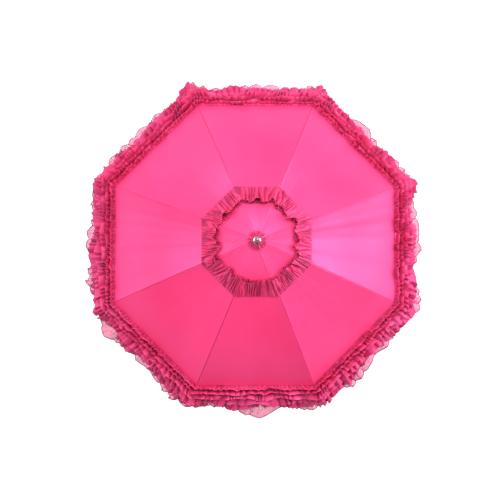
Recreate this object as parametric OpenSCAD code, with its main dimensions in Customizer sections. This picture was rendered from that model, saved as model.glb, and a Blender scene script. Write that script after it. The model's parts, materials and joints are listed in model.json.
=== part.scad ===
// Ruffled eight-rib stick parasol, shown open.
// Frame: +Z runs up the shaft, and the origin is the middle of the hand grip on the shaft's axis.
// Ribs stand at 22.5 degrees and every 45 degrees after that, so the canopy's flat sides face X and Y.

/* [Canopy] */
// Length of a rib along its curve
rib_length = 533; // [520:1:545]
// Radius that an open rib is bent to
bend_radius = 954; // [930:1:980]
// Slope of a rib where it leaves the crown, in degrees below level
crown_slope = 8; // [7:0.5:9]
// Thickness of the cloth's solid
cloth = 0.6; // [0.5:0.1:0.8]
// How far a panel hollows between two ribs
panel_sag = 9; // [4:1:12]

/* [Ruffles] */
// Radius of the crown ruffle's free edge
crown_ruffle_in = 118; // [112:1:124]
// Radius of the crown ruffle's sewn edge
crown_ruffle_out = 175; // [165:1:180]
// Radius where the hem ruffle starts, on a rib
hem_ruffle_in = 450; // [440:1:455]
// How far the hem ruffle reaches past a rib tip
hem_ruffle_drop = 58; // [50:1:64]

/* [Frame] */
// Angle that a rib folds through
fold_angle = 63; // [60:0.5:64]
// Distance along a rib to its stretcher's pin
joint_at = 225; // [215:1:235]
// Depth of the open runner's pivots below the crown's pivots
runner_depth = 140; // [135:1:150]

/* [Shaft and handle] */
// Height of the crown's pivots above the middle of the grip
crown_z = 670; // [665:1:690]
// Radius of the shaft tube
shaft_r = 5; // [5:0.1:5.2]
// Radius of the hand grip
grip_r = 11; // [10:0.5:12]
// Radius of the crook's centre line
crook_r = 36; // [32:1:40]
// Height of the ferrule above the crown's pivots
ferrule_top = 60; // [56:1:64]

/* [Hidden] */
ribs = 8;
half = 180 / ribs;      // angle from a rib to the middle of a panel
eps = 0.01;             // overlap that joins two shapes into one solid
fit = 0.02;             // gap of a pressed fit
run = 0.05;             // gap of a running fit

// Crown
pivot_r = 9;
wire_r = 0.5;
notch_r = 11;
notch_h = 8;
notch_core = 6.6;
washer_r = 9;
slot_w = 2;

// Ribs: U channels that open downwards
channel_w = 3.2;
channel_h = 3.2;
channel_wall = 0.5;
tongue_w = 1.4;
tongue_r = 1.6;
rib_start = 7;
pin_r = 0.8;
pin_offset = -0.3;
tip_r = 2.6;

// Stretchers: U channels that straddle a rib at one end and end in a hook at the other
ear_gap = 0.3;
ear_wall = 0.5;
stretcher_h = 3.2;
ear_r = 2.2;
hook_r = 2.6;
hook_gap = 0.15;
hook_reach = 24;

// Runner
runner_pivot_r = 12.5;
runner_flange_r = 15;
runner_flange_h = 7;
runner_core = 9.4;
sleeve_r = 8;
sleeve_drop = 58;
thumb_r = 12;
thumb_h = 5;
window_h = 16;
window_z = -50;

// Shaft
shaft_wall = 0.6;
shaft_over = 20;        // tube above the crown's pivots
socket_depth = 85;      // tube inside the handle
grip_top = 55;
grip_bottom = -60;
collar_h = 8;
nose_w = 2.6;
nose_h = 12;
nose_out = 3.4;

// Cloth
cloth_rise = 1.4;       // gap between a rib and the cloth over it
crown_bump = 4.4;       // rise of the cloth over the crown notch
crown_bump_r = 20;
gore_in = 6;
gore_gap = 0.15;        // gap from a half panel's edge to the middle of its panel
seam_gap = 0.1;         // gap from a half panel's edge to the seam over its rib
rosette_r = 29;
ruffle_thick = 1.2;
ruffle_rise = 0.5;       // gap between the canopy and a ruffle over it
rosette_thick = 1;

// Closure strap, sewn under the hem just past the tip of one rib
strap_rib = 7;
strap_past = 10;
strap_side = 4;
strap_drop = 12;
strap_w = 20;
strap_l = 90;
strap_thick = 3;
snap_r = 6;
snap_h = 1.6;

// Where a rib is, by the distance s along it from the crown's pivot
function slope(s) = crown_slope + s / bend_radius * 180 / PI;
function rib_x(s) = pivot_r + bend_radius * (sin(slope(s)) - sin(crown_slope));
function rib_z(s) = crown_z - bend_radius * (cos(crown_slope) - cos(slope(s)));
function rib_at(x) = (asin((x - pivot_r) / bend_radius + sin(crown_slope)) - crown_slope)
    * bend_radius * PI / 180;

arc_x = pivot_r - bend_radius * sin(crown_slope);
arc_z = crown_z - bend_radius * cos(crown_slope);

// The stretcher's pin on the open rib, the runner's pivot, and the angle between them
joint_slope = slope(joint_at);
joint_x = arc_x + (bend_radius + pin_offset) * sin(joint_slope);
joint_z = arc_z + (bend_radius + pin_offset) * cos(joint_slope);
runner_z = crown_z - runner_depth;
stretcher_l = norm([joint_x - runner_pivot_r, joint_z - runner_z]);
stretcher_angle = atan2(joint_z - runner_z, joint_x - runner_pivot_r);

// The folded place of the same pin, which sets how far the runner slides
folded = atan2(crown_z - joint_z, joint_x - pivot_r) + fold_angle;
pin_arm = norm([joint_x - pivot_r, joint_z - crown_z]);
folded_x = pivot_r + pin_arm * cos(folded);
folded_z = crown_z - pin_arm * sin(folded);
runner_travel = runner_z - folded_z + sqrt(pow(stretcher_l, 2) - pow(folded_x - runner_pivot_r, 2));

// ---------- shared shapes ----------

// Turns a shape made at azimuth 0 to rib i, counted from 1
module at_rib(i) {
    rotate([0, 0, half + (i - 1) * 2 * half]) children();
}

// A flat plate in the plane of the rib at azimuth 0, drawn as (outwards, upwards)
module plate(thick) {
    rotate([90, 0, 0]) linear_extrude(thick, center=true) children();
}

// A round pin across the plane of the rib at azimuth 0
module cross_pin(x, z, r, length) {
    translate([x, 0, z]) rotate([90, 0, 0]) cylinder(r=r, h=length, center=true, $fn=48);
}

// A wire ring with one straight side for each rib, each side's middle r from the axis. The sides stop
// short of each other inside a bead of solder at each corner.
module wire_ring(r, z) {
    corner = r / cos(half);
    side = 2 * r * tan(half) - 0.6;
    for (i = [1:ribs]) at_rib(i) {
        translate([r, 0, z]) rotate([90, 0, 0]) cylinder(r=wire_r, h=side, center=true, $fn=32);
        rotate([0, 0, half]) translate([corner, 0, z]) sphere(r=wire_r + 0.12, $fn=32);
    }
}

// Radial slots, one for each rib, from radius r outwards
module rib_slots(r, reach, width, z, height) {
    for (i = [1:ribs]) at_rib(i)
        translate([r, -width / 2, z - height / 2]) cube([reach, width, height]);
}

// A closed skin from two grids of points with the same rows and columns
module skin(rows, cols, top, under) {
    n = rows * cols;
    function at(i, j) = i * cols + j;
    polyhedron(
        points=concat(top, under),
        faces=concat(
            [for (i = [0:rows - 2], j = [0:cols - 2]) [at(i, j), at(i + 1, j), at(i + 1, j + 1)]],
            [for (i = [0:rows - 2], j = [0:cols - 2]) [at(i, j), at(i + 1, j + 1), at(i, j + 1)]],
            [for (i = [0:rows - 2], j = [0:cols - 2]) [n + at(i, j), n + at(i + 1, j + 1), n + at(i + 1, j)]],
            [for (i = [0:rows - 2], j = [0:cols - 2]) [n + at(i, j), n + at(i, j + 1), n + at(i + 1, j + 1)]],
            [for (i = [0:rows - 2]) [at(i, 0), n + at(i + 1, 0), at(i + 1, 0)]],
            [for (i = [0:rows - 2]) [at(i, 0), n + at(i, 0), n + at(i + 1, 0)]],
            [for (i = [0:rows - 2]) [at(i, cols - 1), at(i + 1, cols - 1), n + at(i + 1, cols - 1)]],
            [for (i = [0:rows - 2]) [at(i, cols - 1), n + at(i + 1, cols - 1), n + at(i, cols - 1)]],
            [for (j = [0:cols - 2]) [at(0, j), at(0, j + 1), n + at(0, j + 1)]],
            [for (j = [0:cols - 2]) [at(0, j), n + at(0, j + 1), n + at(0, j)]],
            [for (j = [0:cols - 2]) [at(rows - 1, j), n + at(rows - 1, j + 1), at(rows - 1, j + 1)]],
            [for (j = [0:cols - 2]) [at(rows - 1, j), n + at(rows - 1, j), n + at(rows - 1, j + 1)]]
        )
    );
}

// ---------- cloth ----------

// Height of the cloth over a rib, and how deep the panel beside it hollows, at radius x
function cloth_z(x) = rib_z(rib_at(x)) + (channel_h / 2 + cloth_rise + cloth / 2) / cos(slope(rib_at(x)))
    + crown_bump * exp(-pow(x / crown_bump_r, 2));
function hollow(x) = panel_sag * pow(sin(180 * min(1, x / rib_x(rib_length)) * 0.8), 2);

// A point of a sheet at radius x over the rib and height z there, w of the way to the middle of the
// panel, with that middle moved out by the share spread
function across(x, z, w, spread, sag) =
    let(
        far = x * cos(half) * (1 + spread),
        u = abs(w) * (1 - gore_gap / (far * sin(half)))
    )
    [x + u * (far * cos(half) - x), sign(w) * u * far * sin(half), z - sag * u * (2 - u)];

function moved(points, up) = [for (p = points) p + [0, 0, up]];

// Half of a panel, from the seam over a rib to the panel's middle. Its side is 1 on the rib's left,
// seen from the shaft, and -1 on its right.
gore_rows = 16;
half_cols = 4;
gore_reach = rib_x(rib_length) - gore_in;
gore_steps = [for (i = [0:gore_rows - 1]) gore_in + gore_reach * pow(i / (gore_rows - 1), 1.15)];
function half_panel(side) = [
    for (x = gore_steps, j = [0:half_cols])
        let(w = side * max(seam_gap / (x * sin(half)), (side > 0 ? j : half_cols - j) / half_cols))
        across(x, cloth_z(max(x, pivot_r)), w, 0, hollow(x))
];

module canopy_half(i, side) {
    points = half_panel(side);
    color([0.98, 0.3, 0.58]) at_rib(i)
        skin(gore_rows, half_cols + 1, moved(points, cloth / 2), moved(points, -cloth / 2));
}

// A ruffle's solid reaches as far to each side of its rib as the canopy does
ruffle_cols = 2 * half_cols + 1;
// The crown ruffle lies on the canopy and stands up a little at its inner, free edge
crown_ruffle_rows = 4;
crown_ruffle_rise = 9;
crown_ruffle_points = [
    for (i = [0:crown_ruffle_rows - 1], j = [-half_cols:half_cols])
        let(
            t = i / (crown_ruffle_rows - 1),
            x = crown_ruffle_in + (crown_ruffle_out - crown_ruffle_in) * t,
            z = cloth_z(x) + cloth + ruffle_rise + crown_ruffle_rise * (1 - t)
        )
        across(x, z, j / half_cols, 0.04 * (1 - t), hollow(x) * t)
];

// The hem ruffle starts on the canopy and goes on past its hem at the same slope
hem_ruffle_rows = 6;
hem_slope = 42;
hem_z = cloth_z(rib_x(rib_length));
hem_run = hem_ruffle_drop * cos(hem_slope);
function past_hem(x) = max(0, x - rib_x(rib_length));
hem_ruffle_points = [
    for (i = [0:hem_ruffle_rows - 1], j = [-half_cols:half_cols])
        let(
            t = i / (hem_ruffle_rows - 1),
            x = hem_ruffle_in + (rib_x(rib_length) + hem_run - hem_ruffle_in) * t,
            z = cloth_z(min(x, rib_x(rib_length))) - past_hem(x) * tan(hem_slope)
        )
        across(x, z + cloth + ruffle_rise, j / half_cols, 0.03 * t, hollow(x))
];

// The crown ruffle and the hem ruffle over one rib, as two solids
module ruffles(i) {
    color([0.83, 0.2, 0.4]) at_rib(i) {
        skin(crown_ruffle_rows, ruffle_cols,
            moved(crown_ruffle_points, ruffle_thick), moved(crown_ruffle_points, 0));
        skin(hem_ruffle_rows, ruffle_cols,
            moved(hem_ruffle_points, ruffle_thick), moved(hem_ruffle_points, 0));
    }
}

// A gathered round of cloth that hides the canopy's centre under the ferrule
function rosette_z(x) = cloth_z(max(x, pivot_r)) + cloth / 2 + ruffle_rise;
module rosette() {
    under = [for (x = [shaft_r + fit, 12, 20, rosette_r]) [x, rosette_z(x)]];
    color([0.88, 0.25, 0.5]) rotate_extrude($fn=96)
        polygon(concat(under, [for (k = [3:-1:0]) under[k] + [0, rosette_thick]]));
}

// A thin round between the crown notch and the canopy
module crown_washer() {
    color([0.3, 0.3, 0.32]) translate([0, 0, crown_z + notch_h / 2 + run]) difference() {
        cylinder(r=washer_r, h=0.3, $fn=96);
        translate([0, 0, -1]) cylinder(r=shaft_r + fit, h=3, $fn=96);
    }
}

// Puts the top of the strap, on its own hinge line, at the origin
module at_strap() {
    x = rib_x(rib_length) + strap_past;
    at_rib(strap_rib) translate([x, strap_side, hem_z - strap_past * tan(hem_slope) - strap_drop]) children();
}

// A cloth strap that goes round the furled canopy, folded in half and snapped to itself
module closure_strap() {
    pocket = 10;
    color([0.9, 0.25, 0.5]) at_strap() translate([0, 0, -strap_l]) difference() {
        cube([strap_thick, strap_w, strap_l]);
        translate([1, -1, 3]) cube([1, strap_w + 2, strap_l - pocket - 3]);
    }
}

// The two halves of the press stud, one on each face of the strap
module strap_snap() {
    from_end = 14;
    color([0.8, 0.8, 0.82]) at_strap() for (x = [-snap_h - fit, strap_thick + fit])
        translate([x, strap_w / 2, from_end - strap_l]) rotate([0, 90, 0])
            cylinder(r=snap_r, h=snap_h, $fn=64);
}

// ---------- ribs and stretchers ----------

module channel_profile(width, wall, height) {
    translate([-height / 2, -width / 2]) square([height, wall]);
    translate([-height / 2, width / 2 - wall]) square([height, wall]);
    translate([height / 2 - wall, -width / 2]) square([wall, width]);
}

module rib(i) {
    start = slope(rib_start);
    end = slope(rib_length);
    color("silver") at_rib(i) {
        difference() {
            union() {
                translate([arc_x, 0, arc_z]) rotate([90, 0, 0]) rotate([0, 0, 90 - end])
                    rotate_extrude(angle=end - start, $fn=720)
                        translate([bend_radius, 0]) channel_profile(channel_w, channel_wall, channel_h);
                translate([pivot_r, 0, crown_z]) plate(tongue_w) rotate(-crown_slope - 0.3) {
                    circle(r=tongue_r, $fn=48);
                    translate([0, -tongue_r + 0.2]) square([rib_start + 4, 2 * tongue_r - 0.3]);
                }
            }
            cross_pin(pivot_r, crown_z, wire_r + run, 4);
            cross_pin(joint_x, joint_z, pin_r + fit, 6);
        }
        rib_pin();
        rib_tip();
    }
}

// The rivet that the stretcher turns on
module rib_pin() {
    ear_out = channel_w / 2 + ear_gap + ear_wall;
    cross_pin(joint_x, joint_z, pin_r, 2 * (ear_out + 0.1 + eps));
    for (side = [-1, 1]) translate([0, side * (ear_out + 0.1 + 0.25), 0])
        cross_pin(joint_x, joint_z, 1.3, 0.5);
}

// The bead on the rib's end, with a cross hole for the thread that ties the hem
module rib_tip() {
    end = slope(rib_length);
    translate([rib_x(rib_length), 0, rib_z(rib_length)]) rotate([0, 90 + end, 0]) difference() {
        union() {
            translate([0, 0, fit]) cylinder(r=2.2, h=5, $fn=48);
            translate([0, 0, 6]) sphere(r=tip_r, $fn=48);
        }
        translate([0, 0, 3]) rotate([90, 0, 0]) cylinder(r=0.7, h=8, center=true, $fn=24);
    }
}

// Drawn with its hook's centre at the origin and its pin hole out along X
module stretcher_shape() {
    inner = channel_w / 2 + ear_gap;
    outer = inner + ear_wall;
    channel_end = stretcher_l - 8;
    difference() {
        union() {
            // side walls, which end as ears round the rib
            for (side = [-1, 1]) translate([0, side * (inner + ear_wall / 2), 0]) plate(ear_wall) {
                translate([hook_reach, -stretcher_h / 2]) square([stretcher_l - hook_reach, stretcher_h]);
                translate([stretcher_l, 0]) circle(r=ear_r, $fn=48);
            }
            // web
            plate(2 * outer) translate([hook_reach, stretcher_h / 2 - ear_wall])
                square([channel_end - hook_reach, ear_wall]);
            // solid end that the hook grows from
            plate(2 * outer) translate([hook_reach, -stretcher_h / 2]) square([4, stretcher_h]);
            plate(tongue_w) hook_profile();
        }
        cross_pin(stretcher_l, 0, pin_r + run, 8);
    }
}

// An open hook: a seat under the wire, a lip behind it, and an arm that rises clear of its way in
module hook_profile() {
    seat = wire_r + hook_gap;
    polygon(concat(
        [for (a = [165:15:270]) seat * [cos(a), sin(a)]],
        [[5, -seat], [12, stretcher_h / 2], [hook_reach + 2, stretcher_h / 2],
            [hook_reach + 2, -stretcher_h / 2], [10, -hook_r], [0, -hook_r]],
        [for (a = [255:-15:165]) hook_r * [cos(a), sin(a)]]
    ));
}

module stretcher(i) {
    color("gainsboro") at_rib(i) translate([runner_pivot_r, 0, runner_z])
        rotate([0, -stretcher_angle, 0]) stretcher_shape();
}

// ---------- crown, runner, shaft ----------

module crown_notch() {
    color("white") translate([0, 0, crown_z]) difference() {
        union() {
            cylinder(r=notch_r, h=notch_h, center=true, $fn=96);
            translate([0, 0, -notch_h / 2 - 12]) cylinder(r=notch_core, h=12 + eps, $fn=96);
        }
        cylinder(r=shaft_r + fit, h=60, center=true, $fn=96);
        rib_slots(notch_core, 8, slot_w, 0, notch_h + 2);
        wire_groove(pivot_r, notch_r);
    }
}

// A groove round a flange, open outwards, that holds a wire ring
module wire_groove(r, flange_r) {
    rotate_extrude($fn=96) translate([r - wire_r - 0.2, -wire_r - 0.2])
        square([flange_r - r + wire_r + 1, 2 * wire_r + 0.4]);
}

module notch_wire() {
    color("dimgray") wire_ring(pivot_r, crown_z);
}

module runner_wire() {
    color("dimgray") wire_ring(runner_pivot_r, runner_z);
}

module runner() {
    color("white") translate([0, 0, runner_z]) difference() {
        union() {
            cylinder(r=runner_flange_r, h=runner_flange_h, center=true, $fn=96);
            translate([0, 0, -sleeve_drop]) cylinder(r=sleeve_r, h=sleeve_drop, $fn=96);
            translate([0, 0, -sleeve_drop]) cylinder(r=thumb_r, h=thumb_h, $fn=96);
            translate([0, 0, -sleeve_drop + thumb_h - eps])
                cylinder(r1=thumb_r, r2=sleeve_r, h=thumb_h, $fn=96);
        }
        cylinder(r=shaft_r + run, h=3 * sleeve_drop, center=true, $fn=96);
        rib_slots(runner_core, 8, slot_w, 0, runner_flange_h + 2);
        wire_groove(runner_pivot_r, runner_flange_r);
        translate([-thumb_r - 1, -2, window_z]) cube([thumb_r, 4, window_h]);
    }
}

// Heights of the two catches' upper faces
top_catch_z = runner_z - sleeve_drop - 0.3;
bottom_catch_z = runner_z - runner_travel + window_z + window_h - 1;

module shaft_tube() {
    bottom = grip_top - socket_depth;
    color("silver") difference() {
        translate([0, 0, bottom]) cylinder(r=shaft_r, h=crown_z + shaft_over - bottom, $fn=96);
        translate([0, 0, bottom - 1])
            cylinder(r=shaft_r - shaft_wall, h=crown_z + shaft_over - bottom + 2, $fn=96);
        for (z = [top_catch_z, bottom_catch_z])
            translate([-shaft_r - 1, -nose_w / 2 - 0.3, z - nose_h - 3])
                cube([shaft_r, nose_w + 0.6, nose_h + 6]);
    }
}

// A spring strip inside the tube, with a nose that stands out of the tube's slot
module catch_shape(z) {
    back = shaft_r - shaft_wall - 1.6;
    color("darkgray") translate([0, 0, z]) plate(nose_w) polygon([
        [-shaft_r - nose_out, 0], [-shaft_r + 1.4, 0], [-shaft_r + 1.4, 2], [back - 4.2, 2],
        [back - 4.2, -nose_h], [back - 2.2, -40], [back - 2.8, -40], [back - 4.8, -nose_h - 1],
        [-shaft_r + 1.4, -nose_h - 1], [-shaft_r - 0.4, -nose_h], [-shaft_r - nose_out, -2.5]
    ]);
}

module top_catch() {
    catch_shape(top_catch_z);
}

module bottom_catch() {
    catch_shape(bottom_catch_z);
}

module ferrule() {
    foot = rosette_z(0) + rosette_thick + 0.1;
    color("silver") difference() {
        rotate_extrude($fn=96) polygon([
            [0, foot], [12, foot], [12, foot + 1.2], [10.5, foot + 2.6], [8.2, foot + 4], [7.2, foot + 7],
            [6.8, foot + 12], [5.6, foot + 15], [4, foot + 19], [4, crown_z + ferrule_top - 4],
            [3.4, crown_z + ferrule_top - 1.2], [2.2, crown_z + ferrule_top], [0, crown_z + ferrule_top]
        ]);
        translate([0, 0, foot - 1])
            cylinder(r=shaft_r + fit, h=crown_z + shaft_over + 0.5 - foot + 1, $fn=96);
    }
}

// ---------- handle ----------

module crook_handle() {
    rise = 14;
    color("white") difference() {
        union() {
            translate([0, 0, grip_bottom]) cylinder(r=grip_r, h=grip_top - grip_bottom, $fn=96);
            translate([crook_r, 0, grip_bottom]) rotate([90, 0, 0]) rotate([0, 0, 180])
                rotate_extrude(angle=180, $fn=180) translate([crook_r, 0]) circle(r=grip_r, $fn=96);
            translate([2 * crook_r, 0, grip_bottom]) cylinder(r=grip_r, h=rise, $fn=96);
            translate([2 * crook_r, 0, grip_bottom + rise]) sphere(r=grip_r, $fn=96);
        }
        translate([0, 0, grip_top - socket_depth - 1]) cylinder(r=shaft_r + fit, h=socket_depth + 2, $fn=96);
    }
}

module handle_collar() {
    color("silver") translate([0, 0, grip_top + fit]) difference() {
        rotate_extrude($fn=96) polygon([
            [0, 0], [grip_r + 0.8, 0], [grip_r + 0.8, 2], [grip_r, 3], [grip_r, 5], [grip_r - 2.6, collar_h],
            [0, collar_h]
        ]);
        translate([0, 0, -1]) cylinder(r=shaft_r + fit, h=collar_h + 2, $fn=96);
    }
}

shaft_tube();
ferrule();
rosette();
crown_notch();
notch_wire();
crown_washer();
crook_handle();
handle_collar();
runner();
runner_wire();
top_catch();
bottom_catch();
closure_strap();
strap_snap();
for (i = [1:ribs]) {
    rib(i);
    stretcher(i);
    canopy_half(i, 1);
    canopy_half(i, -1);
    ruffles(i);
}
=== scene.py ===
"""The looks of a ruffled stick parasol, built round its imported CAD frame. Lengths are in metres."""

import json
import math

import bpy
import numpy as np
from mathutils import Matrix, Vector


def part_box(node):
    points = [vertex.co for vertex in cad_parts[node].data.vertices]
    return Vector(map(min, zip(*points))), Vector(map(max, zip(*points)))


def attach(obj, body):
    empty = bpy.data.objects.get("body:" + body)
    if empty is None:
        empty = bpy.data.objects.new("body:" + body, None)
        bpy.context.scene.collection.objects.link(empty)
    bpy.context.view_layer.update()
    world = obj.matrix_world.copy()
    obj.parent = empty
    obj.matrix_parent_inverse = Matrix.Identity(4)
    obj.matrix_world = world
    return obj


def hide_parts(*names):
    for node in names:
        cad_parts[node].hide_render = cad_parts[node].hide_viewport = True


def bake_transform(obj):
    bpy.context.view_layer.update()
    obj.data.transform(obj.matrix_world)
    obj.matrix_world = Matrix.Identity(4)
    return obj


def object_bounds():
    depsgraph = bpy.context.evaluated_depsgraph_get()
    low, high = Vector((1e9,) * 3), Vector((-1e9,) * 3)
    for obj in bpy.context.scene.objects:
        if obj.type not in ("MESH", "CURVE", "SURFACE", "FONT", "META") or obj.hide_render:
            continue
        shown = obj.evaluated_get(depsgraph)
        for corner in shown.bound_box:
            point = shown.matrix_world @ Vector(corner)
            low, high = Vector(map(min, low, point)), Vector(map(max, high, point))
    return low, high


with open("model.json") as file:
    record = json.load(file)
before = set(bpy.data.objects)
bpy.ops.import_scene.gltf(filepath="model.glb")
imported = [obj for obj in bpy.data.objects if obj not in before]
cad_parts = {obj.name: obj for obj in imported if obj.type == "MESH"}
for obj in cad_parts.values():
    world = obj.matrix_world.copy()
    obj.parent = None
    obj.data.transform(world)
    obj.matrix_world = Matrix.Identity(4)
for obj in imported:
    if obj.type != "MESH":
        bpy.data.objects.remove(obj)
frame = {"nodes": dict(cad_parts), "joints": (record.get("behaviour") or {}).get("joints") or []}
cad_box = [list(corner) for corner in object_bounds()]

# ---------- sizes ----------

RIBS = 8
HALF = math.pi / RIBS                       # angle from a rib to the middle of a panel
LEFT, RIGHT = 1, -1                         # a half panel's side of its rib, seen from the shaft
SIDES = {"left": LEFT, "right": RIGHT}

joints = {j["name"]: j for j in frame["joints"]}
pivot = Vector(joints["rib_1_fold"]["pos_m"])
PIVOT_R, CROWN_Z = pivot.xy.length, pivot.z
BEND = 0.954                                # radius that an open rib is bent to
CROWN_SLOPE = math.radians(8)
RIB_LENGTH = 0.533
TIP_SLOPE = CROWN_SLOPE + RIB_LENGTH / BEND
TIP_R = PIVOT_R + BEND * (math.sin(TIP_SLOPE) - math.sin(CROWN_SLOPE))
HEM_SLOPE = math.radians(42)                # slope of what hangs past the rib tips
CLOTH_RISE = 0.0033                         # from a rib's middle to the cloth over it
CROWN_BUMP, CROWN_BUMP_R = 0.0044, 0.020    # how much the cloth rises over the crown notch, and how wide
PANEL_SAG = 0.009                           # how deep a panel's middle hangs, where it hangs most
PANEL_IN = 0.006                            # radius of the hole for the ferrule


def rib_slope(r):
    return np.arcsin(np.clip((r - PIVOT_R) / BEND + math.sin(CROWN_SLOPE), -1, 1))


def cloth_height(r):
    """Height of the cloth over a rib, at radius r. Past the rib's tip it goes on at the hem's slope."""
    inner = np.clip(r, PIVOT_R, TIP_R)
    slope = rib_slope(inner)
    height = CROWN_Z - BEND * (math.cos(CROWN_SLOPE) - np.cos(slope)) + CLOTH_RISE / np.cos(slope)
    bump_height = CROWN_BUMP * np.exp(-(inner / CROWN_BUMP_R) ** 2)
    return height + bump_height - np.maximum(0, r - TIP_R) * math.tan(HEM_SLOPE)


def hollow(r):
    """How deep the middle of a panel hangs under the straight line between its two ribs."""
    return PANEL_SAG * np.sin(math.pi * 0.8 * np.minimum(1, r / TIP_R)) ** 2


def canopy_point(r, w):
    """A point of the canopy beside a rib at azimuth 0: at radius r over the rib, and the share w of the way
    to the middle of the panel."""
    far = r * math.cos(HALF)
    x = r + w * (far * math.cos(HALF) - r)
    y = w * far * math.sin(HALF)
    return np.stack([x, y, cloth_height(r) - hollow(r) * w * (2 - w)], -1)


def azimuth(rib):
    return HALF + (rib - 1) * 2 * HALF


def place(points, rib, side):
    """Points made beside a rib at azimuth 0, on its left, put beside the given rib, on the given side."""
    c, s = math.cos(azimuth(rib)), math.sin(azimuth(rib))
    x, y = points[..., 0], points[..., 1] * side
    return np.stack([x * c - y * s, x * s + y * c, points[..., 2]], -1)


def directions(points, r):
    """At each point: the way out of the cloth, the way down it, and the way round the canopy."""
    angle = np.arctan2(points[..., 1], points[..., 0])
    c, s, level = np.cos(angle), np.sin(angle), np.zeros_like(angle)
    slope = np.where(r > TIP_R, HEM_SLOPE, rib_slope(np.minimum(r, TIP_R))) + level
    out = np.stack([c * np.sin(slope), s * np.sin(slope), np.cos(slope)], -1)
    down = np.stack([c * np.cos(slope), s * np.cos(slope), -np.sin(slope)], -1)
    return out, down, np.stack([-s, c, level], -1)


def wander(seed, low, high):
    """A smooth random function of the way round, about -1 to 1, that joins up after all the ribs. It has
    from low to high waves a turn. Its second argument, drift, makes it change down the cloth."""
    rng = np.random.default_rng(seed)
    waves = np.arange(low, high + 1)
    phases = rng.uniform(0, 2 * math.pi, len(waves))
    sizes = rng.normal(0, 1, len(waves)) * 1.2 / math.sqrt(len(waves))
    drifts = rng.normal(0, 1, len(waves))

    def value(turn, drift=0.0):
        total = 0
        for wave, phase, size, change in zip(waves, phases, sizes, drifts):
            total = total + size * np.sin(2 * math.pi * wave * turn / RIBS + phase + change * drift)
        return total

    return value


# ---------- meshes ----------

def grid_mesh(name, points, uv, material, closed=False, attributes=None):
    """A smooth sheet over a grid of points (rows, columns, 3). uv is the place on the flat cloth, in
    metres. closed joins the last column to the first."""
    rows, cols = points.shape[:2]
    index = np.arange(rows * cols).reshape(rows, cols)
    if closed:
        index = np.concatenate([index, index[:, :1]], 1)
    quads = np.stack([index[:-1, :-1], index[1:, :-1], index[1:, 1:], index[:-1, 1:]], -1).reshape(-1, 4)
    mesh = bpy.data.meshes.new(name)
    mesh.from_pydata(points.reshape(-1, 3).tolist(), [], quads.tolist())
    mesh.polygons.foreach_set("use_smooth", [True] * len(mesh.polygons))
    layer = mesh.uv_layers.new(name="cloth")
    corners = np.zeros(len(mesh.loops), int)
    mesh.loops.foreach_get("vertex_index", corners)
    layer.data.foreach_set("uv", uv.reshape(-1, 2)[corners].astype(np.float32).ravel())
    for key, values in (attributes or {}).items():
        attribute = mesh.attributes.new(key, "FLOAT", "POINT")
        attribute.data.foreach_set("value", np.broadcast_to(values, (rows, cols)).astype(np.float32).ravel())
    mesh.materials.append(material)
    obj = bpy.data.objects.new(name, mesh)
    bpy.context.scene.collection.objects.link(obj)
    return obj


def cloth_values(seam=1.0, shade=0.0, edge=1.0, gloss=1.0):
    """What the cloth's materials need at each point: metres to the nearest stitches, the painted shade for
    how deep it lies in a fold, metres to the free edge, where the satin paints a highlight, and how glossy it
    is."""
    return {"seam": seam, "shade": shade, "edge": edge, "gloss": gloss}


def facing_out(points, side):
    """The grid's columns in the order that turns its faces outwards, whichever side of its rib it is on."""
    return points if side == LEFT else points[:, ::-1]


def furl(obj):
    """Bakes a piece's placing into its mesh."""
    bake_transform(obj)


# ---------- materials ----------

def new_material(name, **sockets):
    material = bpy.data.materials.new(name)
    material.use_nodes = True
    shader = material.node_tree.nodes["Principled BSDF"]
    for socket, value in sockets.items():
        shader.inputs[socket.replace("_", " ")].default_value = value
    return material, material.node_tree, shader


def add(tree, kind, inputs=None, **settings):
    node = tree.nodes.new(kind)
    for key, value in settings.items():
        setattr(node, key, value)
    for key, value in (inputs or {}).items():
        if isinstance(value, bpy.types.NodeSocket):
            tree.links.new(value, node.inputs[key])
        else:
            node.inputs[key].default_value = value
    return node


def mixed(tree, factor, a, b):
    """A colour mix's result. factor, a and b are values or sockets."""
    return add(tree, "ShaderNodeMix", {0: factor, 6: a, 7: b}, data_type="RGBA").outputs[2]


def ranged(tree, value, low, high, to_low=0.0, to_high=1.0):
    inputs = {"Value": value, "From Min": low, "From Max": high, "To Min": to_low, "To Max": to_high}
    return add(tree, "ShaderNodeMapRange", inputs).outputs[0]


def arithmetic(tree, a, b, operation):
    return add(tree, "ShaderNodeMath", {0: a, 1: b}, operation=operation).outputs[0]


def weave(tree, pitch):
    """The height of a plain weave of that pitch, on the cloth's flat coordinates."""
    flat = add(tree, "ShaderNodeUVMap", uv_map="cloth").outputs[0]
    wave_scale = 2 * math.pi / 20 / pitch   # the wave texture has 20 / (2 pi) bands a metre at scale 1
    inputs = {"Vector": flat, "Scale": wave_scale}
    bands = [add(tree, "ShaderNodeTexWave", inputs, bands_direction=way).outputs[1] for way in "XY"]
    return arithmetic(tree, bands[0], bands[1], "MULTIPLY")


def bump(tree, shader, height, distance, strength, under=None):
    """Bumps the shader's surface by height, over the bumps of under, and returns the normal."""
    inputs = {"Height": height, "Distance": distance, "Strength": strength}
    if under:
        inputs["Normal"] = under
    normal = add(tree, "ShaderNodeBump", inputs).outputs[0]
    tree.links.new(normal, shader.inputs["Normal"])
    return normal


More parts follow.
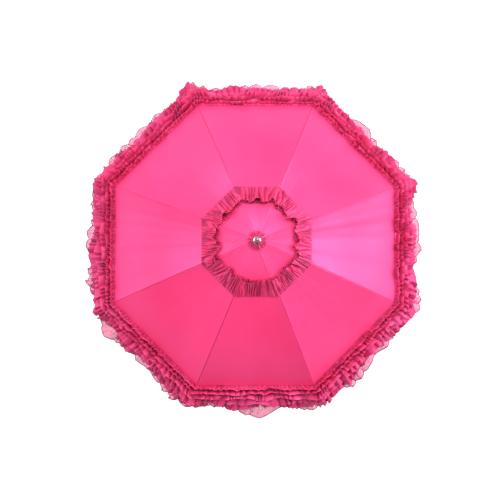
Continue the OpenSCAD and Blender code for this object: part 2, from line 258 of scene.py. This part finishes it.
def object_noise(tree, scale, detail, stretch=(1, 1, 1)):
    where = add(tree, "ShaderNodeTexCoord").outputs["Object"]
    scaled = add(tree, "ShaderNodeMapping", {"Vector": where, "Scale": stretch}).outputs[0]
    return add(tree, "ShaderNodeTexNoise", {"Vector": scaled, "Scale": scale, "Detail": detail}).outputs[0]


def named(tree, attribute):
    return add(tree, "ShaderNodeAttribute", attribute_name=attribute).outputs["Fac"]


def satin(name, base, deep, light, gloss, roughness, seam_depth):
    """Polyester satin: a tight weave with a broad lilac gloss, less where it is stretched tight. It is darker
    at its stitches, by seam_depth, partly the thread's own colour and partly painted shade in the seam's
    groove. It has painted shade down in its folds and a painted highlight along a free edge."""
    material, tree, shader = new_material(
        name, Roughness=roughness, Specular_Tint=gloss, Sheen_Roughness=0.4, Sheen_Tint=gloss)
    for socket, most in (("Specular IOR Level", 0.74), ("Sheen Weight", 0.29)):
        tree.links.new(arithmetic(tree, named(tree, "gloss"), most, "MULTIPLY"), shader.inputs[socket])
    cloudy = ranged(tree, object_noise(tree, 4.0, 2.0), 0.35, 0.7)
    colour = mixed(tree, cloudy, base, light)
    slubs = ranged(tree, object_noise(tree, 260.0, 2.0, (1, 1, 3)), 0.62, 0.8, 0.0, 0.2)
    colour = mixed(tree, slubs, colour, deep)
    # The dark line at the stitches is partly the thread's own colour and partly painted shade in the seam's
    # groove. How dark it is varies at random along the seams.
    stitched = ranged(tree, named(tree, "seam"), 0.0005, 0.0023, 1.0, 0.0)
    seam_darkness = ranged(tree, object_noise(tree, 9.0, 2.0), 0.35, 0.65, seam_depth * 0.55, seam_depth)
    colour = mixed(tree, arithmetic(tree, stitched, seam_darkness, "MULTIPLY"), colour, deep)
    # Painted shade down in the folds and at a frill's root.
    colour = mixed(tree, named(tree, "shade"), colour, deep)
    # Painted highlight along a free edge, where a standing frill's top catches the light.
    colour = mixed(tree, ranged(tree, named(tree, "edge"), 0.0003, 0.0030, 0.7, 0.0), colour, light)
    tree.links.new(colour, shader.inputs["Base Color"])
    cloth = bump(tree, shader, weave(tree, 0.0005), 0.00003, 0.5)
    bump(tree, shader, object_noise(tree, 45.0, 2.0), 0.0005, 0.25, cloth)
    return material


def organza(name, base, deep, threads_low, threads_high, motif):
    """Sheer net with denser flowers in it. What lets light through is the pattern, not a plain alpha: its
    threads are from threads_high, at their middles, down to threads_low, and the flowers reach motif."""
    material, tree, shader = new_material(name, Roughness=0.5, Specular_IOR_Level=0.3, Sheen_Weight=0.2)
    flat = add(tree, "ShaderNodeUVMap", uv_map="cloth").outputs[0]
    net = add(tree, "ShaderNodeTexVoronoi", {"Vector": flat, "Scale": 620.0}, feature="DISTANCE_TO_EDGE")
    threads = ranged(tree, net.outputs["Distance"], 0.05, 0.16, threads_high, threads_low)
    motifs = add(tree, "ShaderNodeTexVoronoi", {"Vector": flat, "Scale": 110.0, "Randomness": 0.35})
    flowers = ranged(tree, motifs.outputs["Distance"], 0.18, 0.42, motif, 0.0)
    edged = ranged(tree, named(tree, "edge"), 0.002, 0.008, 0.7, 0.0)
    rooted = ranged(tree, named(tree, "shade"), 0.05, 0.7, 0.0, 1.0)
    alpha = arithmetic(tree, threads, flowers, "MAXIMUM")
    alpha = arithmetic(tree, arithmetic(tree, alpha, edged, "MAXIMUM"), rooted, "MAXIMUM")
    tree.links.new(alpha, shader.inputs["Alpha"])
    # The flowers are darker in their own colour; the painted shade at the root and in the folds darkens it
    # too.
    colour = mixed(tree, arithmetic(tree, flowers, named(tree, "shade"), "MAXIMUM"), base, deep)
    tree.links.new(colour, shader.inputs["Base Color"])
    bump(tree, shader, net.outputs["Distance"], 0.0002, 0.4)
    return material


def brushed(name, colour, roughness, stretch):
    """Drawn or brushed metal, its fine lines along the axis that stretch shortens."""
    material, tree, shader = new_material(name, Metallic=1.0, Roughness=roughness)
    lines = object_noise(tree, 900.0, 2.0, stretch)
    cloudy = object_noise(tree, 30.0, 3.0)
    dull = tuple(c * 0.82 for c in colour[:3]) + (1,)
    tree.links.new(mixed(tree, ranged(tree, cloudy, 0.4, 0.7), colour, dull), shader.inputs["Base Color"])
    rough = ranged(tree, lines, 0.3, 0.7, roughness * 0.8, roughness * 1.35)
    tree.links.new(rough, shader.inputs["Roughness"])
    bump(tree, shader, lines, 0.00002, 0.3)
    return material


def plastic(name, colour, roughness, grain, coat=0.0):
    """Moulded plastic with a fine grain and faint flow marks."""
    material, tree, shader = new_material(name, Roughness=roughness, Coat_Weight=coat, Coat_Roughness=0.08)
    flow = ranged(tree, object_noise(tree, 22.0, 3.0, (1, 1, 0.35)), 0.4, 0.65)
    shade = tuple(c * 0.93 for c in colour[:3]) + (1,)
    tree.links.new(mixed(tree, flow, colour, shade), shader.inputs["Base Color"])
    bump(tree, shader, object_noise(tree, 1400.0, 2.0), 0.00002, grain)
    return material


LILAC = (0.92, 0.40, 1.0, 1)                # the satin's gloss
PANEL = satin("panel_satin", (0.92, 0.046, 0.178, 1), (0.36, 0.004, 0.05, 1), (0.95, 0.062, 0.222, 1),
              LILAC, 0.36, 0.80)
# The frills' satin is a darker copy of the panel satin: painted shade for the shadow the frills cast on one
# another.
SHADED_FRILL = satin("frill_satin_shaded", (0.79, 0.032, 0.130, 1), (0.22, 0.001, 0.022, 1), (0.95, 0.085, 0.27, 1),
              LILAC, 0.46, 0.5)
LACE = organza("lace_organza", (0.80, 0.065, 0.24, 1), (0.60, 0.03, 0.15, 1), 0.60, 0.95, 0.95)
EDGING = plastic("edging_cord", (0.24, 0.12, 0.17, 1), 0.55, 0.2)
RIB_STEEL = brushed("rib_steel", (0.46, 0.47, 0.50, 1), 0.30, (1, 1, 1))
WIRE = brushed("spring_wire", (0.33, 0.33, 0.36, 1), 0.38, (1, 1, 1))
SHAFT = brushed("shaft_steel", (0.40, 0.41, 0.44, 1), 0.22, (1, 1, 0.03))
CHROME = brushed("chrome", (0.68, 0.68, 0.71, 1), 0.12, (0.03, 0.03, 1))
WHITE = plastic("white_nylon", (0.86, 0.86, 0.84, 1), 0.45, 0.5)
HANDLE = plastic("handle_pearl", (0.66, 0.40, 0.43, 1), 0.26, 0.08, 0.5)

CAD_MATERIALS = {
    "shaft_tube": SHAFT, "ferrule": CHROME, "crown_notch": WHITE, "notch_wire": WIRE, "crown_washer": WHITE,
    "crook_handle": HANDLE, "handle_collar": CHROME, "runner": WHITE, "runner_wire": WIRE, "top_catch": WIRE,
    "bottom_catch": WIRE, "strap_snap": CHROME,
}
for rib in range(1, RIBS + 1):
    CAD_MATERIALS[f"rib_{rib}"] = RIB_STEEL
    CAD_MATERIALS[f"stretcher_{rib}"] = RIB_STEEL
for node, material in CAD_MATERIALS.items():
    mesh = frame["nodes"][node].data
    mesh.materials.clear()
    mesh.materials.append(material)

# ---------- canopy ----------

SEAM_OFFSETS = np.array([0, 0.4, 0.8, 1.3, 1.9, 2.7, 3.8, 5.5, 8, 12]) / 1000    # the close columns at a seam
PANEL_ROWS, PANEL_COLS = 72, 26
PLEAT_HEIGHT, BROAD_HEIGHT = 0.0003, 0.0010
PUCKER_HEIGHT, PUCKER_PITCH, PUCKER_REACH = 0.00028, 0.011, 0.010    # the seam thread's small puckers
TIGHT_R, TIGHT_WIDTH = 0.31, 0.085          # where the cloth is stretched tightest
pleats = wander(11, 20, 64)
broad = wander(12, 6, 22)


def seam_profile(y):
    """Height of the cloth beside a seam: a stitched groove with a low ridge of seam allowance beside it."""
    return 0.0004 * np.exp(-((y - 0.0030) / 0.0014) ** 2) - 0.0010 * np.exp(-(y / 0.0009) ** 2)


def half_canopy(rib, side):
    """The satin of one half panel, from its seam over the rib to the middle of the panel."""
    r = PANEL_IN + (TIP_R - PANEL_IN) * np.linspace(0, 1, PANEL_ROWS)[:, None] ** 1.1
    reach = r * math.cos(HALF) * math.sin(HALF)
    near = SEAM_OFFSETS[None, :] * np.minimum(1, reach / 0.06)
    rest = near[:, -1:] + (reach - near[:, -1:]) * np.linspace(0, 1, PANEL_COLS + 1)[None, 1:]
    y = np.concatenate([near, rest], 1)
    w = y / reach
    r = np.broadcast_to(r, w.shape)
    base = place(canopy_point(r, w), rib, SIDES[side])
    out = directions(base, r)[0]
    turn = (rib - 1) + SIDES[side] * w / 2
    share = np.minimum(1, r / TIP_R)
    loose = np.sin(np.minimum(1, w * 1.6) * math.pi / 2) * share * (1 - 0.5 * share)
    height = seam_profile(y) * np.minimum(1, reach / 0.02)
    folds = PLEAT_HEIGHT * pleats(turn, 2.0 * r / TIP_R) + BROAD_HEIGHT * broad(turn, 3.0 * r / TIP_R)
    height = height + loose * folds
    pucker = np.sin(2 * math.pi * r / PUCKER_PITCH + 3 * broad(turn * 0 + rib - 1, 9 * r / TIP_R))
    fade = np.exp(-y / PUCKER_REACH) * np.minimum(1, y / 0.002) * np.minimum(1, r / 0.1)
    height = height + PUCKER_HEIGHT * pucker * fade
    points = base + out * height[..., None]
    uv = np.stack([y * SIDES[side], r], -1)

    def order(values):
        return facing_out(values, SIDES[side])

    tight = np.exp(-((r - TIGHT_R) / TIGHT_WIDTH) ** 2)
    slack = np.exp(-(r / 0.12) ** 4)
    stitches = y + 0.0013 * np.exp(-(r / 0.15) ** 4)    # they hardly show at the crown
    values = cloth_values(seam=order(stitches), gloss=order(1 - 0.45 * tight + 0.35 * slack))
    obj = grid_mesh(f"panel_{side}_{rib}", order(points), order(uv), PANEL, attributes=values)
    furl(obj)
    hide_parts(f"canopy_{side}_{rib}")


# ---------- ruffles ----------

ROOT_GATHERS, ROOT_FADE = 0.0005, 2.5       # height of the fine gathers at a strip's root, and how they fade
LEAST_COS = 0.35                            # limits the room for a fold in a strip that stands upright
PAST_HEM_ROOM = 1.5                         # how far a fold may drop, for each metre past the hem
NEAR_RIB = 0.16                             # share of a half panel over which a rib holds its ruffle up


class Frill:
    """A strip of cloth gathered along one edge, its root, which is sewn to the canopy at radius start over
    the ribs.

    way: 1 if it lies towards the hem, -1 if towards the crown.
    lean: how far it leans up from the canopy, at its root and at its free edge.
    sway, flare, steeper: what varies the lean: at random, more at the panels' middles, less towards +Y.
    waves, fold, loop: how many folds there are round the canopy, how high they are to either side of the
        strip, and how far they bulge along it, as a share of that height.
    crowd, twist, branch: how the folds bunch up, change course, and differ from the root to the free edge.
    crease: the height of the fine creases. ragged: how the width varies. rise: the root's height.
    shade: the painted shade at its root and at its free edge. valley: the painted shade down in its folds.
    gather: how many times longer the flat strip is than its seam.
    rows, samples: the mesh's rows, and its columns for each fold."""

    def __init__(self, name, material, seed, start, width, waves, fold, lean, way=1, loop=0.5, gather=1.5,
                 rows=8, samples=14, ragged=0.10, sway=0.12, flare=0.0, steeper=0.0, rise=0.0013,
                 shade=(0.85, 0.0), valley=0.12, twist=0.5, branch=0.3, crease=0.0, crowd=0.6):
        self.name, self.material, self.start, self.width = name, material, start, width
        self.waves, self.fold, self.loop, self.gather = waves, fold, loop, gather
        self.lean, self.way, self.sway, self.flare, self.steeper = lean, way, sway, flare, steeper
        self.rows, self.samples, self.ragged, self.rise = rows, samples, ragged, rise
        self.twist, self.branch, self.crease, self.crowd = twist, branch, crease, crowd
        self.shade, self.valley = shade, valley
        self.jitter = wander(seed, 5, max(8, waves // 3))
        self.size = wander(seed + 1, 9, max(12, waves // 2))
        self.edge = wander(seed + 2, 6, max(12, waves // 3))
        self.swing = wander(seed + 3, 7, max(14, waves // 4))
        self.gathers = wander(seed + 4, int(waves * 1.8), int(waves * 3.2))

    def half(self, rib, side):
        """The strip over one half panel: its points, their share of the way to the panel's middle, and the
        painted shade of the cloth."""
        cols = math.ceil(self.waves / (2 * RIBS) * self.samples)
        w = np.linspace(0, 1, cols + 1)[None, :]
        v = np.linspace(0, 1, self.rows + 1)[:, None]
        turn = (rib - 1) + SIDES[side] * w / 2
        crowding = self.crowd * self.jitter(turn, self.branch * v)
        phase = 2 * math.pi * (self.waves * turn / RIBS + crowding)
        size = np.clip(1 + 0.45 * self.size(turn, self.branch * v), 0.3, 1.7)
        root = place(canopy_point(np.full_like(w, self.start), w), rib, SIDES[side])
        out, down, around = directions(root, self.start)
        angle = np.arctan2(root[..., 1], root[..., 0])
        lean = self.lean[0] + (self.lean[1] - self.lean[0]) * v + self.sway * self.swing(turn, 1.2 * v) * v
        off_rib = 1 - np.exp(-(w / NEAR_RIB) ** 2)
        lean = lean + self.flare * w ** 2 - self.steeper * np.maximum(0, np.sin(angle + 0.3)) * off_rib
        step = self.width / self.rows * (1 + self.ragged * self.edge(turn))
        inner = (lean[1:] + lean[:-1]) / 2
        along = np.concatenate([np.zeros_like(w), np.cumsum(np.cos(inner) * step, 0)]) * self.way
        rising = np.concatenate([np.zeros_like(w), np.cumsum(np.sin(inner) * step, 0)]) + self.rise
        grow = 0.08 + 0.92 * v ** 0.75
        phase = phase + self.twist * v * self.swing(turn)
        wave = np.sin(phase) + 0.30 * np.sin(2 * phase + 1.1 + 0.9 * self.edge(turn))
        swell = self.fold * size * grow * wave + ROOT_GATHERS * self.gathers(turn) * np.exp(-ROOT_FADE * v)
        swell = swell + self.crease * self.gathers(turn, 5 * v)
        # This limits how far a fold goes down towards the canopy.
        past_hem = np.maximum(0, self.start + along - TIP_R) if self.way == 1 else 0
        room = np.maximum(0, rising - self.rise) / np.maximum(LEAST_COS, np.cos(lean))
        room = room + PAST_HEM_ROOM * past_hem
        swell = np.maximum(swell, -room)
        along = along - swell * np.sin(lean) * self.way
        rising = rising + swell * np.cos(lean)
        bulge = np.sin(2 * phase + 0.6 * self.size(turn, self.branch * v))
        round_it = self.loop * self.fold * size * grow * bulge
        points = root + down * along[..., None] + out * rising[..., None] + around * round_it[..., None]
        # Painted shade: at the root and the free edge as shade sets it, and down in the folds.
        hidden = self.shade[0] + (self.shade[1] - self.shade[0]) * v ** 0.7
        valley = np.clip(0.5 - 0.5 * wave - 0.25 * self.size(turn, 3 * v), 0, 1) * self.valley * (2 - v)
        return points, np.broadcast_to(w, valley.shape), np.clip(np.maximum(hidden, valley), 0, 1)

    def piece(self, rib, side):
        points, w, shade = self.half(rib, side)
        v = np.linspace(0, 1, self.rows + 1)[:, None]
        length = self.start * math.sin(HALF) * self.gather
        uv = np.stack(np.broadcast_arrays(w * length, v * self.width), -1)
        to_edge = np.broadcast_to((1 - v) * self.width, w.shape)
        sign = SIDES[side] * self.way

        def order(values):
            return facing_out(values, sign)

        values = cloth_values(shade=order(shade), edge=order(to_edge))
        name = f"{self.name}_{side}_{rib}"
        obj = grid_mesh(name, order(points), order(uv), self.material, attributes=values)
        furl(obj)
        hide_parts(f"ruffles_{rib}")

    def edge_cord(self, rib, side, radius):
        """A fine rolled edging of five sides along the free edge."""
        points, w, _ = self.half(rib, side)
        line, w = points[-1], w[-1]
        ahead = np.gradient(line, axis=0)
        ahead /= np.linalg.norm(ahead, axis=1)[:, None]
        across = np.cross(ahead, [0, 0, 1])
        across /= np.linalg.norm(across, axis=1)[:, None]
        up = np.cross(across, ahead)
        angles = np.arange(5) / 5 * 2 * math.pi
        ring = line[:, None] + radius * (across[:, None] * np.cos(angles)[None, :, None]
                                         + up[:, None] * np.sin(angles)[None, :, None])
        uv = np.stack(np.broadcast_arrays(np.linspace(0, 1, len(line))[:, None], angles[None, :] / 100), -1)
        obj = grid_mesh(f"{self.name}_edging_{side}_{rib}", ring, uv, EDGING, closed=True)
        furl(obj)


# The hem has a flat gathered heading, four narrow standing frills, a skirt and a sheer lace edge under that.
FRILLS = [
    Frill("hem_heading", SHADED_FRILL, 21, 0.4590, 0.015, 230, 0.0018, (0.15, 0.60), gather=1.2, rows=5, samples=10,
          shade=(0.30, 0.0), valley=0.3),
    Frill("hem_frill_1", SHADED_FRILL, 31, 0.4655, 0.017, 160, 0.0044, (1.95, 1.60), sway=0.30),
    Frill("hem_frill_2", SHADED_FRILL, 41, 0.4740, 0.021, 146, 0.0050, (1.75, 1.25), sway=0.32),
    Frill("hem_frill_3", SHADED_FRILL, 51, 0.4815, 0.026, 136, 0.0058, (1.40, 0.80), sway=0.30),
    Frill("hem_frill_4", SHADED_FRILL, 101, 0.4860, 0.036, 124, 0.0062, (0.92, 0.22), sway=0.30, flare=0.10,
          shade=(0.85, 0.18), valley=0.38, crease=0.0006),
    Frill("hem_skirt", SHADED_FRILL, 61, 0.4875, 0.050, 104, 0.0070, (0.42, -0.05), gather=1.4, ragged=0.14,
          sway=0.25, flare=0.16, steeper=0.42, shade=(0.9, 0.30), valley=0.45, twist=1.2, branch=0.7,
          crease=0.0008),
    Frill("hem_lace", LACE, 71, 0.4885, 0.058, 78, 0.0080, (0.18, -0.05), gather=1.4, rows=9, samples=20,
          ragged=0.24, flare=0.24, steeper=0.30, valley=0.2, twist=1.0, branch=0.7),
    Frill("crown_frill", SHADED_FRILL, 81, 0.1735, 0.055, 62, 0.0062, (0.12, 0.42), way=-1, loop=0.38, gather=1.8,
          rows=18, samples=24, ragged=0.11, sway=0.28, rise=0.0019, shade=(0.12, 0.05), valley=0.38,
          twist=2.0, branch=1.2, crease=0.0013, crowd=0.8),
    Frill("crown_frill_under", SHADED_FRILL, 91, 0.1500, 0.031, 58, 0.0048, (0.05, 0.25), way=-1, gather=1.4,
          samples=20, ragged=0.12, rise=0.0015, shade=(0.9, 0.25), valley=0.30, twist=1.5, branch=1.0),
]
CORDED = {"hem_skirt": 0.0008, "hem_lace": 0.0013}    # the radius of the rolled edging

for rib in range(1, RIBS + 1):
    for side in SIDES:
        half_canopy(rib, side)
        for frill in FRILLS:
            frill.piece(rib, side)
            if frill.name in CORDED:
                frill.edge_cord(rib, side, CORDED[frill.name])

# ---------- rosette ----------

ROSETTE_LAYERS = (                          # name, share of the rosette's radius, folds, seed, lift
    ("rosette_round", 1.0, 30, 71, 0.0),
    ("rosette_ruche", 0.62, 22, 81, 0.0016),
)
ROSETTE_IN = 0.0058                         # radius of its hole
UNDER_FERRULE_R = 0.0135                    # within this it stays under the ferrule's foot


def rosette():
    """A round of cloth gathered tightly round the ferrule's foot, in two layers."""
    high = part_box("rosette")[1]
    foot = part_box("ferrule")[0].z
    for name, share, folds, seed, lift in ROSETTE_LAYERS:
        reach = share * high.x
        angle = np.linspace(0, 2 * math.pi, folds * 16, endpoint=False)[None, :]
        v = np.linspace(0, 1, 15)[:, None]
        turn = angle / (2 * math.pi) * RIBS
        uneven = wander(seed, 3, folds // 2)
        edge = wander(seed + 1, 4, folds)
        phase = folds * angle + 1.6 * uneven(turn)
        r = ROSETTE_IN + (reach - ROSETTE_IN) * v * (1 + 0.05 * edge(turn))
        fold = 0.0002 + 0.0013 * np.sin(math.pi * np.minimum(1, v * 0.8)) ** 0.8
        puff = 0.0016 * np.sin(math.pi * v) ** 0.7
        z = cloth_height(np.maximum(r, PIVOT_R)) + 0.0011 + puff + lift * (1 - 0.4 * v)
        z = z + fold * (1 + np.sin(phase + 2.2 * v * uneven(turn)))
        z = np.minimum(z, np.where(r < UNDER_FERRULE_R, foot - 0.0001, 1))
        swing = 0.05 * v * np.sin(2 * phase) / folds * 4
        x, y = r * np.cos(angle + swing), r * np.sin(angle + swing)
        points = np.stack([x, y, np.broadcast_to(z, r.shape)], -1)
        uv = np.stack([np.broadcast_to(angle * reach, r.shape), r], -1)
        # Painted shade down in the folds and towards the middle; the satin paints a highlight along the outer
        # rim.
        valley = 0.55 - 0.45 * np.sin(phase + 2.2 * v * uneven(turn))
        values = cloth_values(shade=np.clip(valley * (1.3 - v), 0, 1), edge=(1 - v) * reach)
        obj = grid_mesh(name, points, uv, SHADED_FRILL, closed=True, attributes=values)
        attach(obj, "shaft")
        if name == "rosette_round":
            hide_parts("rosette")


rosette()

# ---------- closure strap ----------

STRAP_RIB = 7                               # the rib that the strap hangs from
STRAP_WIDTH = 0.020
STRAP_TURN_R = 0.0007                       # radius of the fold at its lower end
STRAP_BACK_TOP = 0.012                      # how far from its top the folded back layer ends
STITCH_IN = 0.0018                          # from its edge to the row of stitches


def strap():
    """A satin strap folded back on itself under its press stud, with a row of stitches down each edge."""
    low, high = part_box("closure_strap")
    centre = (low + high) / 2
    straight = high.z - low.z - 0.001
    down = np.linspace(0, straight, 40)
    bend = np.linspace(0, math.pi, 9)[1:-1]
    front = np.stack([np.full_like(down, STRAP_TURN_R), -down], -1)
    curve = np.stack([STRAP_TURN_R * np.cos(bend), -straight - STRAP_TURN_R * np.sin(bend)], -1)
    back = np.stack([np.full(30, -STRAP_TURN_R), -np.linspace(straight, STRAP_BACK_TOP, 30)], -1)
    path = np.concatenate([front, curve, back])
    path[:, 0] += 0.0005 * np.sin(path[:, 1] * 90) * np.sign(path[:, 0]) * np.minimum(1, -path[:, 1] / 0.02)
    across = np.linspace(-STRAP_WIDTH / 2, STRAP_WIDTH / 2, 13)
    axis = Vector((math.cos(azimuth(STRAP_RIB)), math.sin(azimuth(STRAP_RIB)), 0))
    round_it = Vector((-axis.y, axis.x, 0))
    edge_dip = 0.0003 * (np.abs(across) / (STRAP_WIDTH / 2)) ** 6
    points = np.zeros((len(path), len(across), 3))
    for k, (x, z) in enumerate(path):
        for j, y in enumerate(across):
            inset = x - math.copysign(edge_dip[j], x)
            points[k, j] = Vector((centre.x, centre.y, high.z + z)) + axis * inset + round_it * y
    run = np.concatenate([[0], np.cumsum(np.linalg.norm(np.diff(path, axis=0), axis=1))])
    uv = np.stack(np.broadcast_arrays(across[None, :], run[:, None]), -1)
    stitches = np.abs(STRAP_WIDTH / 2 - np.abs(across) - STITCH_IN)[None, :]
    obj = grid_mesh("strap_satin", points, uv, PANEL, attributes=cloth_values(seam=stitches))
    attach(obj, "closure_strap")
    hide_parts("closure_strap")


strap()

# ---------- stage, light and camera ----------

FLOOR_SIZE, FLOOR_DROP = 60, 0.35           # the floor's side, and how far it lies below the handle

floor_material, _, floor_shader = new_material("floor", Roughness=0.9, Specular_IOR_Level=0.1)
floor_shader.inputs["Base Color"].default_value = (0.95, 0.95, 0.95, 1)
floor_shader.inputs["Emission Color"].default_value = (1, 1, 1, 1)
floor_shader.inputs["Emission Strength"].default_value = 0.40
bpy.ops.mesh.primitive_plane_add(size=FLOOR_SIZE, location=(0, 0, cad_box[0][2] - FLOOR_DROP))
floor = bpy.context.object
floor.name = "floor"
floor.data.materials.append(floor_material)

world = bpy.data.worlds.new("studio")
bpy.context.scene.world = world
world.use_nodes = True
sky = world.node_tree
sky.nodes["Background"].inputs["Color"].default_value = (1.0, 0.985, 1.0, 1)
# The studio is bright near the horizon, dim from 29 to 40 degrees up, and bright again from 53 degrees. It
# is dimmer towards -Y, with a dark flag there. The levels are by the sine of the height.
RING_LEVELS = {0.0: 1.0, 0.30: 0.95, 0.48: 0.34, 0.64: 0.34, 0.80: 1.15, 1.0: 1.2}
FLAG = (0.0, -0.85, 0.53)
where = add(sky, "ShaderNodeTexCoord").outputs["Generated"]
towards = add(sky, "ShaderNodeSeparateXYZ", {0: where}).outputs
rings = add(sky, "ShaderNodeValToRGB", {0: towards[2]})
for place_at, level in RING_LEVELS.items():
    stop = rings.color_ramp.elements.new(place_at)
    stop.color = (level, level, level, 1)
rings.color_ramp.elements.remove(rings.color_ramp.elements[0])
rings.color_ramp.elements.remove(rings.color_ramp.elements[-1])
dimmer = ranged(sky, towards[1], -0.9, 0.1, 0.60, 0.92)
to_flag = add(sky, "ShaderNodeVectorMath", {0: where, 1: FLAG}, operation="DOT_PRODUCT").outputs["Value"]
flag = ranged(sky, to_flag, 0.78, 0.95, 1.0, 0.08)
strength = arithmetic(sky, arithmetic(sky, rings.outputs[0], dimmer, "MULTIPLY"), flag, "MULTIPLY")
sky.links.new(strength, sky.nodes["Background"].inputs["Strength"])


def area_light(name, location, aim, size, power, colour):
    data = bpy.data.lights.new(name, "AREA")
    data.shape, data.size, data.energy, data.color = "DISK", size, power, colour
    obj = bpy.data.objects.new(name, data)
    obj.location = location
    obj.rotation_mode = "QUATERNION"
    obj.rotation_quaternion = (Vector(aim) - Vector(location)).to_track_quat("-Z", "Y")
    bpy.context.scene.collection.objects.link(obj)


canopy_middle = (0, 0, CROWN_Z - 0.1)
area_light("key", (3.2, 0.7, 2.2), canopy_middle, 2.0, 108, (1.0, 0.96, 1.0))
area_light("fill", (-2.4, 0.9, 2.2), canopy_middle, 2.4, 50, (1.0, 0.97, 0.98))
area_light("overhead", (0.3, 1.1, 3.4), canopy_middle, 0.9, 28, (1.0, 0.97, 1.0))

# The camera looks down the shaft from a little to the left of it and below it in the picture.
TILT, TILT_TOWARDS = math.radians(3.8), math.radians(245)
DISTANCE = 4.25
AIM_SHIFT = 0.0144                          # how far it is moved left and down in the picture
aside = math.sin(TILT)
back = Vector((aside * math.cos(TILT_TOWARDS), aside * math.sin(TILT_TOWARDS), math.cos(TILT)))
up = (Vector((0, 1, 0)) - back * back.y).normalized()
right = up.cross(back)
camera_data = bpy.data.cameras.new("camera")
camera_data.lens, camera_data.sensor_width = 100, 36
camera = bpy.data.objects.new("camera", camera_data)
bpy.context.scene.collection.objects.link(camera)
bpy.context.scene.camera = camera
rib_tips = Vector((0, 0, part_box("rib_1")[0].z))
stand = rib_tips + back * DISTANCE - right * AIM_SHIFT - up * AIM_SHIFT
camera.matrix_world = Matrix.Translation(stand) @ Matrix((right, up, back)).transposed().to_4x4()

bpy.context.scene.view_settings.view_transform = "Standard"
